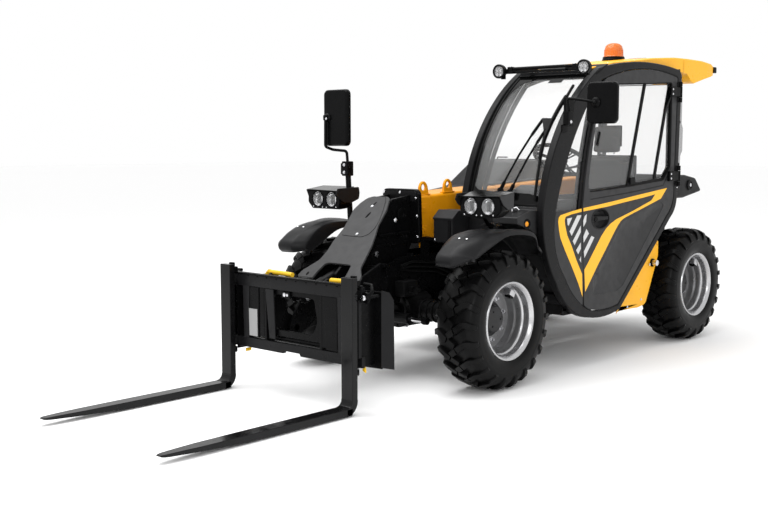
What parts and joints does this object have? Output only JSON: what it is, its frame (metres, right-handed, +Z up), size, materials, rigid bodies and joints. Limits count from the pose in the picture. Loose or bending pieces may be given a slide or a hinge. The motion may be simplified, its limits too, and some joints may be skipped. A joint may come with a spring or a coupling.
{
  "type": "compact telescopic handler with pallet forks",
  "caption": "Compact telescopic handler with a side cab, a hydraulic boom on the centre line and a pallet fork carriage on a quick coupler.",
  "frame": {"origin": "on the ground, under the middle of the whole machine's outline with mirrors and forks", "axes": "+Y to the rear, +X to the machine's left (cab side), +Z up"},
  "size_m": [1.775, 4.67, 1.9999],
  "materials": {
    "charcoal_paint": "satin dark charcoal powder coat",
    "charcoal_plastic": "grained dark charcoal moulded plastic",
    "black_paint": "satin black paint",
    "head_paint": "semi-matt charcoal paint on the boom head's plate",
    "boom_yellow": "orange-yellow gloss paint",
    "body_yellow": "yellow moulded roof and lower panels",
    "clear_glass": "clear safety glass, faint grey tint",
    "lamp_chrome": "bright lamp reflectors",
    "amber_lens": "amber lens",
    "tyre": "black tread rubber",
    "rim_silver": "silver painted wheel steel",
    "rod_chrome": "polished hard chrome",
    "seat_vinyl": "black stitched seat vinyl",
    "mirror_shell": "black moulded mirror shell",
    "cast_black": "black painted castings"
  },
  "bodies": {
    "chassis": {"main_frame": "black_paint", "rear_counterweight": "cast_black", "front_axle": "cast_black", "rear_axle": "cast_black", "front_fenders": "charcoal_plastic", "front_cowl": "charcoal_plastic", "headlamps": "black_paint", "mirrors": "mirror_shell", "work_lamps": "black_paint", "beacon": "amber_lens", "cab_frame": "charcoal_paint", "cab_floor": "black_paint", "cab_front_panel": "charcoal_paint", "cab_rear_panel": "charcoal_paint", "cab_side_panels": "charcoal_paint", "cab_glass": "clear_glass", "cab_roof": "body_yellow", "door_hinges": "black_paint", "dashboard": "charcoal_plastic", "seat_cushion": "seat_vinyl", "seat_backrest": "seat_vinyl", "rear_cover": "charcoal_plastic", "lower_side_panel": "body_yellow", "engine_bay": "black_paint", "engine_block": "cast_black"},
    "boom": {"outer_boom": "boom_yellow"},
    "boom_extension": {"inner_boom": "boom_yellow", "boom_head": "head_paint"},
    "carriage": {"quick_coupler": "black_paint", "fork_frame": "black_paint", "forks": "black_paint"},
    "lift_cylinder": {"lift_cylinder": "black_paint"},
    "lift_rod": {"lift_rod": "rod_chrome"},
    "tilt_cylinder": {"tilt_cylinder": "black_paint"},
    "tilt_rod": {"tilt_rod": "rod_chrome"},
    "door": {"door": "charcoal_paint", "door_glass": "clear_glass"},
    "engine_hood": {"engine_hood": "charcoal_plastic"},
    "steering_wheel": {"steering_wheel": "charcoal_plastic"},
    "front_left_knuckle": {"front_left_knuckle": "cast_black"},
    "front_left_wheel": {"front_left_tyre": "tyre", "front_left_rim": "rim_silver"},
    "front_right_knuckle": {"front_right_knuckle": "cast_black"},
    "front_right_wheel": {"front_right_tyre": "tyre", "front_right_rim": "rim_silver"},
    "rear_left_knuckle": {"rear_left_knuckle": "cast_black"},
    "rear_left_wheel": {"rear_left_tyre": "tyre", "rear_left_rim": "rim_silver"},
    "rear_right_knuckle": {"rear_right_knuckle": "cast_black"},
    "rear_right_wheel": {"rear_right_tyre": "tyre", "rear_right_rim": "rim_silver"}
  },
  "joints": [
    {"name": "boom_lift", "type": "hinge", "parent": "chassis", "child": "boom", "pos_m": [-0.2575, 1.965, 0.991], "axis": [-1, 0, 0], "range_deg": [0, 62]},
    {"name": "boom_extend", "type": "slide", "parent": "boom", "child": "boom_extension", "axis": [0, -0.999, -0.0436], "range_m": [0, 1]},
    {"name": "carriage_tilt", "type": "hinge", "parent": "boom_extension", "child": "carriage", "pos_m": [-0.1425, -0.955, 0.335], "axis": [1, 0, 0], "range_deg": [-20, 90]},
    {"name": "lift_cylinder_swing", "type": "hinge", "parent": "chassis", "child": "lift_cylinder", "pos_m": [-0.2575, 1.685, 0.43], "axis": [-1, 0, 0], "range_deg": [0, 52]},
    {"name": "lift_rod_slide", "type": "slide", "parent": "lift_cylinder", "child": "lift_rod", "axis": [0, -0.9377, 0.3475], "range_m": [0, 0.6125]},
    {"name": "tilt_cylinder_swing", "type": "hinge", "parent": "boom_extension", "child": "tilt_cylinder", "pos_m": [-0.2175, -0.495, 0.715], "axis": [1, 0, 0], "range_deg": [-3.2, 14]},
    {"name": "tilt_rod_slide", "type": "slide", "parent": "tilt_cylinder", "child": "tilt_rod", "axis": [0, -0.9363, -0.3511], "range_m": [-0.051, 0.227]},
    {"name": "door_swing", "type": "hinge", "parent": "chassis", "child": "door", "pos_m": [0.5695, 1.657, 1.365], "axis": [0, 0, 1], "range_deg": [0, 90]},
    {"name": "hood_open", "type": "hinge", "parent": "chassis", "child": "engine_hood", "pos_m": [-0.6425, 1.7, 0.938], "axis": [-1, 0, 0], "range_deg": [0, 55]},
    {"name": "steering_wheel_turn", "type": "hinge", "parent": "chassis", "child": "steering_wheel", "pos_m": [0.2325, 0.775, 1.236], "axis": [0, 0.5299, 0.848], "continuous": true},
    {"name": "front_left_steer", "type": "hinge", "parent": "chassis", "child": "front_left_knuckle", "pos_m": [0.3125, -0.23, 0.38], "axis": [0, 0, 1], "range_deg": [-30, 30]},
    {"name": "front_left_spin", "type": "hinge", "parent": "front_left_knuckle", "child": "front_left_wheel", "pos_m": [0.4725, -0.23, 0.38], "axis": [1, 0, 0], "continuous": true},
    {"name": "front_right_steer", "type": "hinge", "parent": "chassis", "child": "front_right_knuckle", "pos_m": [-0.5975, -0.23, 0.38], "axis": [0, 0, 1], "range_deg": [-30, 30]},
    {"name": "front_right_spin", "type": "hinge", "parent": "front_right_knuckle", "child": "front_right_wheel", "pos_m": [-0.7575, -0.23, 0.38], "axis": [1, 0, 0], "continuous": true},
    {"name": "rear_left_steer", "type": "hinge", "parent": "chassis", "child": "rear_left_knuckle", "pos_m": [0.3125, 1.9, 0.38], "axis": [0, 0, 1], "range_deg": [-30, 30]},
    {"name": "rear_left_spin", "type": "hinge", "parent": "rear_left_knuckle", "child": "rear_left_wheel", "pos_m": [0.4725, 1.9, 0.38], "axis": [1, 0, 0], "continuous": true},
    {"name": "rear_right_steer", "type": "hinge", "parent": "chassis", "child": "rear_right_knuckle", "pos_m": [-0.5975, 1.9, 0.38], "axis": [0, 0, 1], "range_deg": [-30, 30]},
    {"name": "rear_right_spin", "type": "hinge", "parent": "rear_right_knuckle", "child": "rear_right_wheel", "pos_m": [-0.7575, 1.9, 0.38], "axis": [1, 0, 0], "continuous": true}
  ],
  "couplings": [
    {"joint": "lift_cylinder_swing", "follows": "boom_lift", "ratio": 0.834},
    {"joint": "lift_rod_slide", "follows": "boom_lift", "m_per_rad": 0.5647},
    {"joint": "tilt_cylinder_swing", "follows": "carriage_tilt", "ratio": 0.1527},
    {"joint": "tilt_rod_slide", "follows": "carriage_tilt", "m_per_rad": 0.1435},
    {"joint": "front_right_steer", "follows": "front_left_steer", "ratio": 1},
    {"joint": "rear_right_steer", "follows": "rear_left_steer", "ratio": 1}
  ]
}
